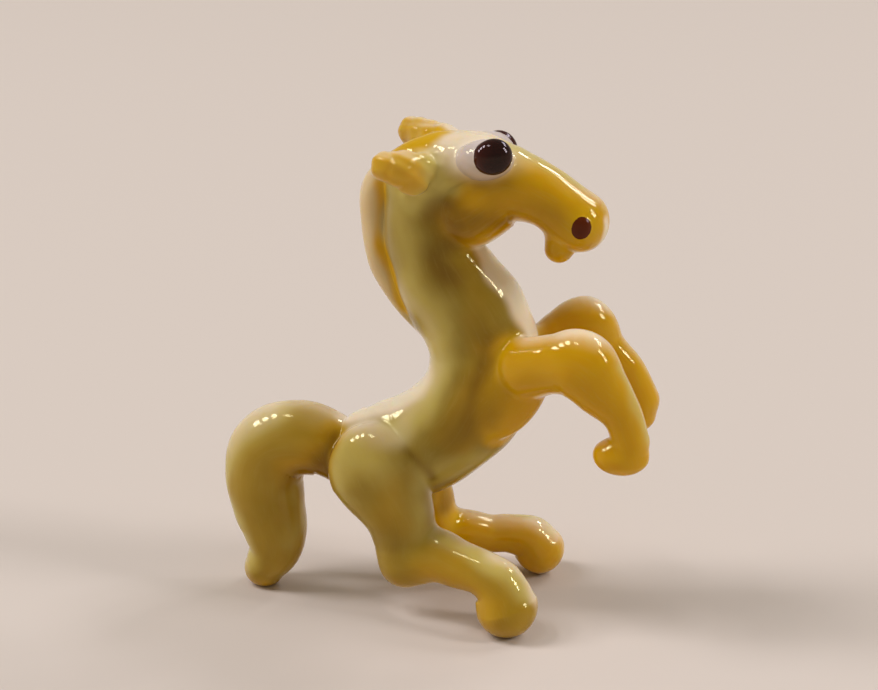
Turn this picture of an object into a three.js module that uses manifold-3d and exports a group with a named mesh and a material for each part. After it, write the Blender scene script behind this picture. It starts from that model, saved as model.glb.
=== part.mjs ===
// A small glass horse, lampworked from ivory and amber rods, that rears on its haunches.
// Millimetres, +Z up. It faces +X, and its right side is -Y. The origin lies on the surface
// that it stands on, under the middle of its box.

import * as THREE from 'three';
import { mergeVertices } from 'three/addons/utils/BufferGeometryUtils.js';
import Module from 'manifold-3d';

const wasm = await Module();
wasm.setup();

// What holds for the whole figure

const fusingGap = 0.2; // clear space left where the real pieces are fused together
const restFlat = 0.25; // depth of the flats under the hind hooves and the tail tip
const kneeStep = 0.12; // how much slimmer a rod is where it starts inside another one's bend
const floorSpan = 200; // block under the floor that trims the flats, across
const floorDeep = 40; // and downwards

// Main sizes. The rump, the chest and the nape lie where these set them, and every other
// piece is measured from one of the three.

const rumpHeight = 13.6; // middle of the rump above the floor
const trunkLong = 10.1; // forwards from the rump to the chest
const trunkRise = 10.6; // upwards from the rump to the chest
const neckLean = 5.2; // backwards from the chest to the nape
const neckRise = 14.0; // upwards from the chest to the nape
const hipSpread = 3.3; // mid plane to the middle of each haunch
const armSpread = 3.2; // mid plane to the middle of each foreleg where it leaves the chest

const rump = { x: -5.7, y: 0, z: rumpHeight };
const chest = { x: rump.x + trunkLong, y: 0, z: rump.z + trunkRise };
const nape = { x: chest.x - neckLean, y: 0, z: chest.z + neckRise };
const hips = { ...rump, y: hipSpread };
const arms = { ...chest, y: armSpread };

// Every station below is the middle of the glass there, with its half height across the
// line of the piece and its half width from side to side. `ahead` and `up` are measured
// from the rump, the chest or the nape, `z` from the floor, and `out` from the hips or arms.

// Stations of a piece, measured from one of those places
function placed(from, stations) {
  const entries = Object.entries(stations).map(([name, { ahead, up, z, out = 0, high, wide }]) => [
    name,
    { x: from.x + ahead, y: from.y + out, z: z ?? from.z + up, high, wide },
  ]);
  return Object.fromEntries(entries);
}

// Stations that lie a share of the way from one place to another
function between(from, to, stations) {
  const entries = Object.entries(stations).map(([name, { along, rise, high, wide }]) => {
    const x = from.x + (to.x - from.x) * along;
    const z = from.z + (to.z - from.z) * rise;
    return [name, { x, y: 0, z, high, wide }];
  });
  return Object.fromEntries(entries);
}

// A last station whose rounded end is pressed to a flat on the floor
function standing(stations) {
  const names = Object.keys(stations);
  const last = names[names.length - 1];
  return { ...stations, [last]: { ...stations[last], z: stations[last].high - restFlat } };
}

// One core of ivory runs from the rump to the chest, as the torso, and on from the chest
// to the nape, as the neck.
const core = {
  ...between(rump, chest, {
    rump: { along: 0, rise: 0, high: 3.6, wide: 3.6 },
    croup: { along: 0.17, rise: 0.04, high: 4.3, wide: 4.0 },
    loin: { along: 0.41, rise: 0.11, high: 4.65, wide: 4.3 },
    barrel: { along: 0.65, rise: 0.27, high: 4.7, wide: 4.4 },
    girth: { along: 0.85, rise: 0.47, high: 4.8, wide: 4.4 },
    withers: { along: 0.98, rise: 0.72, high: 4.85, wide: 4.4 },
  }),
  ...between(chest, nape, {
    chest: { along: 0, rise: 0, high: 4.85, wide: 4.2 },
    low: { along: 0.17, rise: 0.2, high: 4.85, wide: 4.1 },
    middle: { along: 0.52, rise: 0.39, high: 4.6, wide: 4.0 },
    throat: { along: 0.79, rise: 0.57, high: 4.2, wide: 3.8 },
    high: { along: 0.94, rise: 0.79, high: 3.95, wide: 3.6 },
    nape: { along: 1, rise: 1, high: 3.5, wide: 3.4 },
  }),
};

const skull = placed(nape, {
  back: { ahead: 0.2, up: 1.0, high: 3.3, wide: 3.3 },
  crown: { ahead: 2.2, up: 2.3, high: 2.9, wide: 3.1 },
  brow: { ahead: 4.8, up: 2.7, high: 2.5, wide: 2.8 },
  bridge: { ahead: 7.0, up: 2.1, high: 2.2, wide: 2.4 },
});

const face = placed(nape, {
  cheek: { ahead: 4.2, up: -1.0, high: 3.5, wide: 3.9 },
  jaw: { ahead: 7.2, up: 0.7, high: 3.15, wide: 3.3 },
  nose: { ahead: 10.3, up: 0.0, high: 2.6, wide: 2.7 },
  muzzle: { ahead: 13.2, up: -2.0, high: 2.6, wide: 2.9 },
});

// The lip is a drop that hangs under the muzzle, this far behind the muzzle's last station.
const lip = { back: 1.6, drop: 2.5, high: 1.25, wide: 1.5 };

// The tail leans to the right on its way down, by the `out` of each station.
const tail = placed(
  rump,
  standing({
    root: { ahead: -2.5, up: 0.5, high: 3.0, wide: 2.9 },
    rise: { ahead: -4.9, up: 0.9, high: 3.0, wide: 2.9 },
    top: { ahead: -7.0, up: 0.9, out: -0.1, high: 3.5, wide: 3.1 },
    bend: { ahead: -9.3, up: -0.2, out: -0.3, high: 3.7, wide: 3.2 },
    fall: { ahead: -10.1, up: -2.8, out: -0.4, high: 3.6, wide: 3.2 },
    swell: { ahead: -9.7, z: 8.0, out: -0.5, high: 3.4, wide: 3.1 },
    waist: { ahead: -9.2, z: 5.4, out: -0.6, high: 3.0, wide: 2.8 },
    ankle: { ahead: -9.3, z: 3.4, out: -0.7, high: 2.5, wide: 2.4 },
    tip: { ahead: -10.2, out: -0.8, high: 1.9, wide: 1.9 },
  }),
);

// The mane is a ridge along the back of the neck, from between the ears to the withers. Its
// stations lie over those of the skull and the core, lifted by `lift` from the skin there.
const maneOnSkull = {
  crown: { lift: -1.0, high: 1.1, wide: 1.3 },
  back: { lift: -0.8, high: 1.2, wide: 1.5 },
};
const maneOnNeck = {
  nape: { lift: 0.6, high: 1.35, wide: 1.4 },
  high: { lift: 0.7, high: 1.35, wide: 1.4 },
  throat: { lift: 0.5, high: 1.25, wide: 1.35 },
  middle: { lift: 0.1, high: 1.05, wide: 1.2 },
  low: { lift: -0.2, high: 0.6, wide: 0.8 },
};

// Haunches and hind legs. The two sides differ a little.
const haunches = {
  right: placed(hips, {
    hip: { ahead: 0.6, out: -0.2, up: -0.4, high: 3.7, wide: 2.95 },
    thigh: { ahead: 2.6, z: 9.3, high: 3.05, wide: 2.8 },
    gaskin: { ahead: 3.5, z: 6.7, high: 2.5, wide: 2.5 },
  }),
  left: placed(hips, {
    hip: { ahead: 1.1, out: -0.2, up: -0.6, high: 3.6, wide: 2.95 },
    thigh: { ahead: 3.6, z: 9.2, high: 2.9, wide: 2.8 },
    gaskin: { ahead: 4.8, out: -0.1, z: 6.2, high: 2.4, wide: 2.5 },
  }),
};

const hindLegs = {
  right: placed(
    hips,
    standing({
      hock: { ahead: 3.7, z: 4.7, high: 2.4, wide: 2.4 },
      bend: { ahead: 6.5, out: 0.6, z: 5.6, high: 2.05, wide: 2.0 },
      cannon: { ahead: 8.9, out: 1.3, z: 5.4, high: 1.8, wide: 1.8 },
      fetlock: { ahead: 11.1, out: 2.0, z: 5.2, high: 1.85, wide: 1.85 },
      pastern: { ahead: 12.5, out: 2.5, z: 4.2, high: 2.2, wide: 2.1 },
      hoof: { ahead: 13.2, out: 2.7, high: 2.75, wide: 2.75 },
    }),
  ),
  left: placed(
    hips,
    standing({
      hock: { ahead: 5.4, out: -0.1, z: 4.1, high: 2.1, wide: 2.1 },
      bend: { ahead: 7.5, out: 0.6, z: 4.7, high: 1.95, wide: 1.95 },
      cannon: { ahead: 10.0, out: 1.6, z: 4.1, high: 1.75, wide: 1.75 },
      fetlock: { ahead: 11.7, out: 2.2, z: 3.9, high: 1.7, wide: 1.7 },
      pastern: { ahead: 13.3, out: 2.7, z: 3.2, high: 2.0, wide: 2.0 },
      hoof: { ahead: 14.5, out: 2.9, high: 2.4, wide: 2.4 },
    }),
  ),
};

// Forelegs, raised and folded at the knee, with a flattened shoulder on the chest.
const shoulder = { ahead: 2.9, down: 2.9, long: 4.2, high: 2.8, wide: 1.8, sink: 1.1, slope: 62 };

const forelegs = {
  right: placed(arms, {
    arm: { ahead: 4.2, up: -0.4, high: 2.6, wide: 2.4 },
    elbow: { ahead: 6.9, out: 1.2, up: 1.0, high: 2.4, wide: 2.4 },
    knee: { ahead: 9.2, out: 2.0, up: 1.3, high: 2.7, wide: 2.6 },
    shin: { ahead: 10.7, out: 2.2, up: -0.7, high: 2.2, wide: 2.2 },
    cannon: { ahead: 12.4, out: 2.3, up: -2.9, high: 1.65, wide: 1.7 },
    pastern: { ahead: 13.5, out: 2.3, up: -5.3, high: 1.6, wide: 1.7 },
  }),
  left: placed(arms, {
    arm: { ahead: 4.2, up: -1.6, high: 2.3, wide: 2.4 },
    elbow: { ahead: 6.4, out: 1.0, up: 0.3, high: 2.3, wide: 2.3 },
    knee: { ahead: 8.3, out: 1.6, up: 1.3, high: 2.4, wide: 2.4 },
    shin: { ahead: 10.1, out: 1.8, up: -1.0, high: 1.85, wide: 1.9 },
    cannon: { ahead: 11.9, out: 1.8, up: -3.0, high: 1.8, wide: 1.8 },
    pastern: { ahead: 13.2, out: 1.8, up: -5.8, high: 1.9, wide: 1.9 },
  }),
};

// The fore hooves are egg-shaped drops bent back under the pasterns.
const foreHoof = { back: 0.8, under: 1.4, long: 2.4, high: 1.65, wide: 1.75 };

// Ears are soft blobs that leave the back of the skull sideways. Each station is measured
// from the skull's first one: backwards, upwards, and outwards from the side of the skull.
const ears = {
  right: {
    root: { back: 0.0, up: 0.9, out: -0.4, radius: 1.55 },
    middle: { back: 1.2, up: 1.8, out: 1.3, radius: 1.6 },
    tip: { back: 2.0, up: 2.5, out: 2.3, radius: 1.2 },
  },
  left: {
    root: { back: -0.6, up: 2.0, out: -0.6, radius: 1.6 },
    middle: { back: 1.2, up: 2.7, out: 1.1, radius: 1.55 },
    tip: { back: 2.5, up: 3.1, out: 2.1, radius: 1.15 },
  },
};

// Each eye is a white ball, longer than it is high, set into the side of the brow. It is
// placed from the brow's station. The left one sits a little lower.
const eye = { inset: 0.2, long: 2.6, high: 1.6, thick: 1.7 };
const eyePlaces = {
  right: { ahead: 1.35, up: 0.9 },
  left: { ahead: 0.7, up: 0.5 },
};

// Pupils and nostrils are dark drops fused on. `sink` is how far the middle of a drop lies
// under the skin, and it looks `ahead` degrees forwards and `lift` degrees upwards.
const pupil = { radius: 1.65, thick: 1.0, sink: 0.4 };
const pupilLooks = {
  right: { ahead: 14, lift: 24 },
  left: { ahead: 12, lift: 6 },
};
const nostril = { radius: 0.95, thick: 0.6, sink: 0.2 };
const nostrilLooks = {
  right: { ahead: 14, lift: 4 },
  left: { ahead: 26, lift: 12 },
};

// Facets

const rodSides = 16;
const trimSides = 12;
const ringsPerSpan = 2;
const capRings = 3;
const bendRoom = 0.75; // share of a bend's radius that the inner side of a rod may take up

const X = new THREE.Vector3(1, 0, 0);
const Y = new THREE.Vector3(0, 1, 0);
const degrees = THREE.MathUtils.degToRad;

// A rod of glass bent through its stations. `lateral` is the direction of its width.
class Rod {
  constructor(stations, lateral = Y, sides = rodSides) {
    const list = Object.values(stations);
    this.names = Object.keys(stations);
    this.spans = list.length - 1;
    this.sides = sides;
    this.lateral = lateral;
    this.line = new THREE.CatmullRomCurve3(list.map(({ x, y, z }) => new THREE.Vector3(x, y ?? 0, z)));
    this.size = new THREE.CatmullRomCurve3(list.map(({ high, wide }) => new THREE.Vector3(high, wide, 0)));
  }

  at(name) {
    return this.names.indexOf(name) / this.spans;
  }

  // Middle, directions and half sizes of the section at t, from 0 at the first station to 1.
  section(t) {
    const along = this.line.getTangent(t);
    const side = this.lateral.clone().addScaledVector(along, -this.lateral.dot(along)).normalize();
    const up = along.clone().cross(side);
    const { x: high, y: wide } = this.size.getPoint(t);
    return { middle: this.line.getPoint(t), along, side, up, high, wide };
  }

  // A vector towards the inside of the bend at t, as long as the curvature there.
  curvature(t) {
    const step = 0.5 / this.spans;
    const [from, to] = [Math.max(t - step, 0), Math.min(t + step, 1)];
    const run = this.line.getPoint(from).distanceTo(this.line.getPoint(to));
    return this.line.getTangent(to).sub(this.line.getTangent(from)).divideScalar(run);
  }

  // The point of the skin at t, `turn` radians from the top towards the side, lifted by `lift`.
  skin(t, turn, lift = 0) {
    const { middle, up, side, high, wide } = this.section(t);
    const out = up.multiplyScalar((high + lift) * Math.cos(turn));
    out.addScaledVector(side, (wide + lift) * Math.sin(turn));
    const bend = this.curvature(t);
    const tightest = bendRoom / Math.max(bend.length(), 1e-6);
    const inward = out.dot(bend.normalize());
    if (inward > 0) {
      const kept = inward / (1 + (inward / tightest) ** 4) ** 0.25;
      out.addScaledVector(bend, kept - inward);
    }
    return middle.add(out);
  }

  // A closed skin: the rows of a sphere, laid along the rod and round its two ends. An end
  // is round, or flat where the rod runs on as another piece.
  geometry(grow = 0, { from = 0, to = 1, flatStart = false, flatEnd = false } = {}) {
    const middleRows = Math.round((to - from) * this.spans) * ringsPerSpan;
    const rows = middleRows + 2 * capRings;
    const skin = bare(new THREE.SphereGeometry(1, this.sides, rows));
    const places = skin.attributes.position;
    for (let i = 0; i < places.count; i += 1) {
      const row = Math.round((Math.acos(THREE.MathUtils.clamp(places.getY(i), -1, 1)) / Math.PI) * rows);
      const turn = Math.atan2(-places.getZ(i), places.getX(i));
      const middleRow = THREE.MathUtils.clamp(row - capRings, 0, middleRows);
      const beyond = (row - capRings - middleRow) / capRings;
      const flat = beyond < 0 ? flatStart : flatEnd;
      const t = from + ((to - from) * middleRow) / middleRows;
      const point = this.endPoint(t, beyond, turn, grow, flat);
      places.setXYZ(i, point.x, point.y, point.z);
    }
    return skin;
  }

  // `beyond` runs from 0 at an end section to 1 at the middle of the end that closes it.
  endPoint(t, beyond, turn, grow, flat) {
    const onSkin = this.skin(t, turn, grow);
    const { middle, along, high } = this.section(t);
    const angle = (Math.abs(beyond) * Math.PI) / 2;
    const reach = Math.sign(beyond) * (flat ? grow : (high + grow) * Math.sin(angle));
    return middle.clone().lerp(onSkin, Math.cos(angle)).addScaledVector(along, reach);
  }
}

// Joining and cutting

function solid(geometry) {
  const vertProperties = Float32Array.from(geometry.attributes.position.array);
  const triVerts = Uint32Array.from(geometry.index.array);
  return new wasm.Manifold(new wasm.Mesh({ numProp: 3, vertProperties, triVerts }));
}

function bare(geometry) {
  geometry.deleteAttribute('normal');
  geometry.deleteAttribute('uv');
  return mergeVertices(geometry);
}

// An egg-shaped drop: half sizes along its own x, y and z, turned and then set in place.
function drop(half, turned, middle, grow) {
  const sphere = bare(new THREE.SphereGeometry(1, trimSides, trimSides / 2));
  sphere.scale(half.x + grow, half.y + grow, half.z + grow);
  sphere.applyQuaternion(turned);
  sphere.translate(middle.x, middle.y, middle.z);
  return solid(sphere);
}

const floor = new THREE.BoxGeometry(floorSpan, floorSpan, floorDeep);
floor.translate(0, 0, -floorDeep / 2);
const underFloor = solid(bare(floor));

// Where a rod bends more tightly than its own width, it is two rods that share a station.
// The second one starts a little slimmer, inside the round end of the first.
function kneed(stations, bend, grow) {
  const entries = Object.entries(stations);
  const cut = entries.findIndex(([name]) => name === bend);
  const { high, wide } = stations[bend];
  const inner = { ...stations[bend], high: high - kneeStep, wide: wide - kneeStep };
  const upper = Object.fromEntries(entries.slice(0, cut + 1));
  const lower = { [bend]: inner, ...Object.fromEntries(entries.slice(cut + 1)) };
  return solid(new Rod(upper).geometry(grow)).add(solid(new Rod(lower).geometry(grow)));
}

// Pieces that come in pairs: the right one is at -Y
const sides = { right: -1, left: 1 };

function mirrored(stations, sign) {
  const entries = Object.entries(stations);
  return Object.fromEntries(entries.map(([name, at]) => [name, { ...at, y: at.y * sign }]));
}

// A direction for a side: degrees forwards from straight out, and degrees upwards
function looking(sign, ahead, lift) {
  const out = new THREE.Vector3(Math.sin(degrees(ahead)), sign * Math.cos(degrees(ahead)), 0);
  return out.multiplyScalar(Math.cos(degrees(lift))).setZ(Math.sin(degrees(lift)));
}

// Rods

const coreRod = new Rod(core);
const skullRod = new Rod(skull);
const faceRod = new Rod(face);

function maneRod() {
  const over = (rod, stations) =>
    Object.entries(stations).map(([name, { lift, high, wide }]) => {
      const { x, y, z } = rod.skin(rod.at(name), 0, lift);
      return { x, y, z, high, wide };
    });
  return new Rod([...over(skullRod, maneOnSkull), ...over(coreRod, maneOnNeck)], Y, trimSides);
}

function lipRod() {
  const { x, z } = face.muzzle;
  const stations = [
    { x: x - lip.back, z: z - lip.high, high: lip.high, wide: lip.wide },
    { x: x - lip.back, z: z - lip.drop, high: lip.high, wide: lip.wide },
  ];
  return new Rod(stations, Y, trimSides);
}

function earRod(side) {
  const stations = Object.values(ears[side]).map(({ back, up, out, radius }) => ({
    x: skull.back.x - back,
    y: sides[side] * (skull.back.wide + out),
    z: skull.back.z + up,
    high: radius,
    wide: radius,
  }));
  return new Rod(stations, X, trimSides);
}

// Solids, each as a function of how much larger it is made than the real piece

function eyeMiddle(side) {
  const { x, z, wide } = skull.brow;
  const { ahead, up } = eyePlaces[side];
  return new THREE.Vector3(x + ahead, sides[side] * (wide - eye.inset), z + up);
}

function eyeWhite(side, grow) {
  const half = { x: eye.long, y: eye.thick, z: eye.high };
  return drop(half, new THREE.Quaternion(), eyeMiddle(side), grow);
}

function darkDrop(size, looks, side, middle, depth, grow) {
  const out = looking(sides[side], looks[side].ahead, looks[side].lift);
  const turned = new THREE.Quaternion().setFromUnitVectors(Y, out);
  const half = { x: size.radius, y: size.thick, z: size.radius };
  return drop(half, turned, middle.clone().addScaledVector(out, depth - size.sink), grow);
}

function shoulderPad(side, grow) {
  const half = { x: shoulder.long, y: shoulder.wide, z: shoulder.high };
  const turned = new THREE.Quaternion().setFromAxisAngle(Y, -degrees(shoulder.slope));
  const out = sides[side] * (core.withers.wide - shoulder.sink);
  return drop(half, turned, new THREE.Vector3(chest.x + shoulder.ahead, out, chest.z - shoulder.down), grow);
}

function hoofDrop(side, grow) {
  const { x, y, z } = forelegs[side].pastern;
  const half = { x: foreHoof.long, y: foreHoof.wide, z: foreHoof.high };
  const middle = new THREE.Vector3(x - foreHoof.back, sides[side] * y, z - foreHoof.under);
  return drop(half, new THREE.Quaternion(), middle, grow);
}

function foreleg(side, grow) {
  const leg = kneed(mirrored(forelegs[side], sides[side]), 'knee', grow);
  return leg.add(shoulderPad(side, grow)).add(hoofDrop(side, grow));
}

const muzzleEnd = new THREE.Vector3(face.muzzle.x, 0, face.muzzle.z);

const shapes = {
  torso: (grow) => solid(coreRod.geometry(grow, { to: coreRod.at('chest'), flatEnd: true })),
  neck: (grow) => solid(coreRod.geometry(grow, { from: coreRod.at('chest'), flatStart: true })),
  head: (grow) => solid(skullRod.geometry(grow)),
  muzzle: (grow) => solid(faceRod.geometry(grow)),
  lower_lip: (grow) => solid(lipRod().geometry(grow)),
  mane: (grow) => solid(maneRod().geometry(grow)),
  tail: (grow) => kneed(tail, 'bend', grow),
};

for (const side of Object.keys(sides)) {
  const haunch = new Rod(mirrored(haunches[side], sides[side]));
  const hindLeg = new Rod(mirrored(hindLegs[side], sides[side]));
  shapes[`${side}_haunch`] = (grow) => solid(haunch.geometry(grow));
  shapes[`${side}_hind_leg`] = (grow) => solid(hindLeg.geometry(grow));
  shapes[`${side}_foreleg`] = (grow) => foreleg(side, grow);
  shapes[`${side}_ear`] = (grow) => solid(earRod(side).geometry(grow));
  shapes[`${side}_eye`] = (grow) => eyeWhite(side, grow);
  shapes[`${side}_pupil`] = (grow) => darkDrop(pupil, pupilLooks, side, eyeMiddle(side), eye.thick, grow);
  shapes[`${side}_nostril`] = (grow) =>
    darkDrop(nostril, nostrilLooks, side, muzzleEnd, face.muzzle.wide, grow);
}

// Glass

function glass(color, roughness = 0.06) {
  return new THREE.MeshStandardMaterial({ color, roughness, metalness: 0 });
}

const ivory = glass('#e3dcae');
const paleIvory = glass('#ddd596');
const amber = glass('#c99b2e');
const honey = glass('#cdb24f');
const eyeGlass = glass('#eee2d2');
const darkGlass = glass('#1c0b0a', 0.04);
const maroon = glass('#4a120f', 0.05);

const horse = new THREE.Group();

// Adds one piece, less what its fused neighbours take up and what would be under the floor
function add(name, material, ...neighbours) {
  let body = shapes[name](0).subtract(underFloor);
  for (const neighbour of neighbours) {
    body = body.subtract(shapes[neighbour](fusingGap));
  }
  const { vertProperties, triVerts } = body.getMesh();
  const geometry = new THREE.BufferGeometry();
  geometry.setAttribute('position', new THREE.BufferAttribute(vertProperties, 3));
  geometry.setIndex(new THREE.BufferAttribute(triVerts, 1));
  geometry.computeVertexNormals();
  const mesh = new THREE.Mesh(geometry, material);
  mesh.name = name;
  horse.add(mesh);
}

add('torso', ivory);
add('neck', ivory, 'torso');
add('head', ivory, 'neck');
add('muzzle', amber, 'neck', 'head');
add('lower_lip', amber, 'muzzle');
add('tail', honey, 'torso', 'right_haunch', 'left_haunch');

for (const side of Object.keys(sides)) {
  add(`${side}_haunch`, paleIvory, 'torso');
  add(`${side}_hind_leg`, honey, `${side}_haunch`, 'torso');
  add(`${side}_foreleg`, amber, 'torso', 'neck');
  add(`${side}_eye`, eyeGlass, 'head', 'muzzle', 'neck');
  add(`${side}_pupil`, darkGlass, `${side}_eye`, 'head', 'muzzle');
  add(`${side}_nostril`, maroon, 'muzzle');
  add(`${side}_ear`, amber, 'head', 'neck');
}

add('mane', amber, 'neck', 'head', 'torso', 'right_ear', 'left_ear');

export default horse;
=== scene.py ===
"""A small glass horse, lampworked from ivory and amber rods, that rears on its haunches.

Every piece is made of rods and drops of glass, given as signed distances. These are melted
together into one skin, and each piece is meshed as the part of that skin that is its own,
with its root sunk into its neighbours. Lengths here are in millimetres, the meshes in metres.
The horse faces +X, its right side is -Y, and it stands on Z = 0.
"""

import math

import bpy
import numpy as np
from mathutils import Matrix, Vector


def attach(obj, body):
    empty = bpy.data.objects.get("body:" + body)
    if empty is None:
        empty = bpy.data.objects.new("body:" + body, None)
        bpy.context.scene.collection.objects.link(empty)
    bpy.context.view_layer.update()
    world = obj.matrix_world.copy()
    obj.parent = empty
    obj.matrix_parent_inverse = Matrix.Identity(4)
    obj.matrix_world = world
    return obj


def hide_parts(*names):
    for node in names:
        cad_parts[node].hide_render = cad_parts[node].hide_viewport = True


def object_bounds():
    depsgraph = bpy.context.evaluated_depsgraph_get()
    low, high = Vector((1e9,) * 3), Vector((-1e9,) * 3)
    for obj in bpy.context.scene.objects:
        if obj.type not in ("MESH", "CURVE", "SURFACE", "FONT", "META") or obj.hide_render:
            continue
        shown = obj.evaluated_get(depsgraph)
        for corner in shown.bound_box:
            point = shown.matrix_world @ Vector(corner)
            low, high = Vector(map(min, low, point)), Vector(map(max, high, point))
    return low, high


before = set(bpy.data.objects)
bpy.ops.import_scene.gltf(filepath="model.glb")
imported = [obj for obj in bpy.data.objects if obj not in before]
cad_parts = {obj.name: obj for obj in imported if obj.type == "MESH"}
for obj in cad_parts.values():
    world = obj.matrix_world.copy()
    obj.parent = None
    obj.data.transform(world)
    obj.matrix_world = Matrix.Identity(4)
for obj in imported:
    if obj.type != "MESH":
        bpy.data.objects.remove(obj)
cad_low, cad_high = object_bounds()

MM = 0.001
VOXEL = 0.2  # grid step of the large pieces
FINE_VOXEL = 0.11  # and of the small ones, which SMALL lists


def add_object(name, data):
    """A new object in the scene, from its mesh, light or camera data."""
    thing = bpy.data.objects.new(name, data)
    bpy.context.scene.collection.objects.link(thing)
    return thing


# The camera: the photograph's viewing angle, in radians, its distance, target and lens
AZIMUTH, ELEVATION, DISTANCE = math.radians(11), math.radians(20), 160.0
TARGET = Vector((0.4, 0.0, 24.3))
LENS, SENSOR = 75, 36
CLIP_START, CLIP_END = 0.001, 20  # metres


def add_camera():
    """A camera on the horse's right side, a little ahead of it and above it."""
    back = Vector(
        (
            math.sin(AZIMUTH) * math.cos(ELEVATION),
            -math.cos(AZIMUTH) * math.cos(ELEVATION),
            math.sin(ELEVATION),
        )
    )
    data = bpy.data.cameras.new("camera")
    data.lens = LENS
    data.sensor_width = SENSOR
    data.clip_start = CLIP_START
    data.clip_end = CLIP_END
    camera = add_object("camera", data)
    camera.location = (TARGET + back * DISTANCE) * MM
    camera.rotation_euler = back.to_track_quat("Z", "Y").to_euler()
    bpy.context.scene.camera = camera


add_camera()

# Signed distances to the forms of glass
CHUNK = 20000  # points that are measured at once
FAR = 2.6  # what a form answers for points well away from it
REACH = 1.7  # how far outside its box a form is looked at
SPACING = 0.22  # between the points of a rod's line
SPAN_POINTS = 24  # of the smooth line between two rows
SEARCHES = 3  # for the nearest place on a rod, from its nearest point
SHARPEST = 0.5  # the least share that a length shrinks to on the inside of a bend
TINY = 1e-9  # keeps divisions away from zero


def curve(rows):
    """A smooth line through rows of numbers, timed by the distances of their first three."""
    p = np.array(rows, float)
    p = np.vstack([2 * p[0] - p[1], p, 2 * p[-1] - p[-2]])
    gap = np.sqrt(np.linalg.norm(np.diff(p[:, :3], axis=0), axis=1))
    out = [p[1:2]]
    t = np.linspace(0, 1, SPAN_POINTS)[1:, None]
    for i in range(1, len(p) - 2):
        a, b, c = gap[i - 1], gap[i], gap[i + 1]
        start = ((p[i] - p[i - 1]) / a - (p[i + 1] - p[i - 1]) / (a + b) + (p[i + 1] - p[i]) / b) * b
        end = ((p[i + 1] - p[i]) / b - (p[i + 2] - p[i]) / (b + c) + (p[i + 2] - p[i + 1]) / c) * b
        cubic = 2 * p[i] - 2 * p[i + 1] + start + end
        square = 3 * p[i + 1] - 3 * p[i] - 2 * start - end
        out.append(p[i] + start * t + square * t**2 + cubic * t**3)
    line = np.vstack(out)
    arc = lengths(line[:, :3])
    even = np.linspace(0, arc[-1], int(arc[-1] / SPACING) + 2)
    return np.stack([np.interp(even, arc, channel) for channel in line.T], axis=1)


def lengths(line):
    """Length along a line up to each of its points."""
    return np.concatenate([[0], np.cumsum(np.linalg.norm(np.diff(line, axis=0), axis=1))])


def unit(v):
    return v / np.linalg.norm(v, axis=-1, keepdims=True)


def oval(a, u, v, high, wide):
    """Distance to a ball of half sizes high, high and wide, from a place inside or near it."""
    near = np.sqrt((a / high) ** 2 + (u / high) ** 2 + (v / wide) ** 2) + TINY
    steep = np.sqrt((a / high**2) ** 2 + (u / high**2) ** 2 + (v / wide**2) ** 2) + TINY
    return near * (near - 1) / steep


# Columns of a rod's table: its middle, its own axes, half sizes, arc length and how it turns
MIDDLE, ALONG, UP, SIDE, TURN = slice(0, 3), slice(3, 6), slice(6, 9), slice(9, 12), slice(15, 18)
HIGH, WIDE, ARC = 12, 13, 14


class Rod:
    """A bent rod of glass: oval sections along a smooth line, with round ends."""

    def __init__(self, rows, lateral=(0, 1, 0)):
        line = curve(rows)
        self.middle, half = line[:, :3], line[:, 3:5]
        self.along = unit(np.gradient(self.middle, axis=0))
        lateral = np.array(lateral, float)
        side = unit(lateral - self.along * (self.along @ lateral)[:, None])
        up = np.cross(self.along, side)
        arc = lengths(self.middle)
        self.step = arc[-1] / (len(arc) - 1)
        self.last = len(arc) - 1
        turn = np.gradient(self.along, self.step, axis=0)
        self.table = np.hstack([self.middle, self.along, up, side, half, arc[:, None], turn])
        self.toward = (-2 * self.middle.T).astype(np.float32)
        self.power = (self.middle**2).sum(1).astype(np.float32)
        reach = half.max(1)[:, None]
        self.low = (self.middle - reach).min(0)
        self.high = (self.middle + reach).max(0)

    def at(self, f, p):
        """The table's row at a place f along the rod, and the way from there to p."""
        j = np.minimum(f.astype(int), self.last - 1)
        t = (f - j)[:, None]
        row = self.table[j] * (1 - t) + self.table[j + 1] * t
        return row, p - row[:, MIDDLE]

    def local(self, p):
        """Where p lies on the rod: beyond an end, up, aside, half sizes and arc length."""
        score = p.astype(np.float32) @ self.toward + self.power
        f = score.argmin(1).astype(float)
        for _ in range(SEARCHES):
            row, away = self.at(f, p)
            bend = np.maximum(1 - (away * row[:, TURN]).sum(1), SHARPEST)
            ahead = (away * row[:, ALONG]).sum(1) / bend
            f = np.clip(f + np.clip(ahead / self.step, -1, 1), 0, self.last)
        row, away = self.at(f, p)
        a = (away * row[:, ALONG]).sum(1)
        a = np.where((f <= 0) | (f >= self.last), a, 0)
        u = (away * row[:, UP]).sum(1)
        v = (away * row[:, SIDE]).sum(1)
        return a, u, v, row[:, HIGH], row[:, WIDE], row[:, ARC]

    def near(self, p):
        a, u, v, high, wide, _ = self.local(p)
        return oval(a, u, v, high, wide)


class Drop:
    """An egg-shaped drop of glass, turned by a matrix whose columns are its own axes."""

    def __init__(self, middle, half, turned=None):
        self.middle = np.array(middle, float)
        self.half = np.array(half, float)
        self.turned = np.eye(3) if turned is None else np.array(turned)
        reach = np.abs(self.turned) @ self.half
        self.low, self.high = self.middle - reach, self.middle + reach

    def near(self, p):
        q = (p - self.middle) @ self.turned / self.half
        length = np.linalg.norm(q, axis=1) + TINY
        return length * (length - 1) / (np.linalg.norm(q / self.half, axis=1) + TINY)


def distance(form, p):
    """Distance from each point of p to a form, or FAR where that is out of reach."""
    out = np.full(len(p), FAR)
    close = np.nonzero(((p > form.low - REACH) & (p < form.high + REACH)).all(1))[0]
    for start in range(0, len(close), CHUNK):
        block = close[start : start + CHUNK]
        out[block] = form.near(p[block])
    return out


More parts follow.
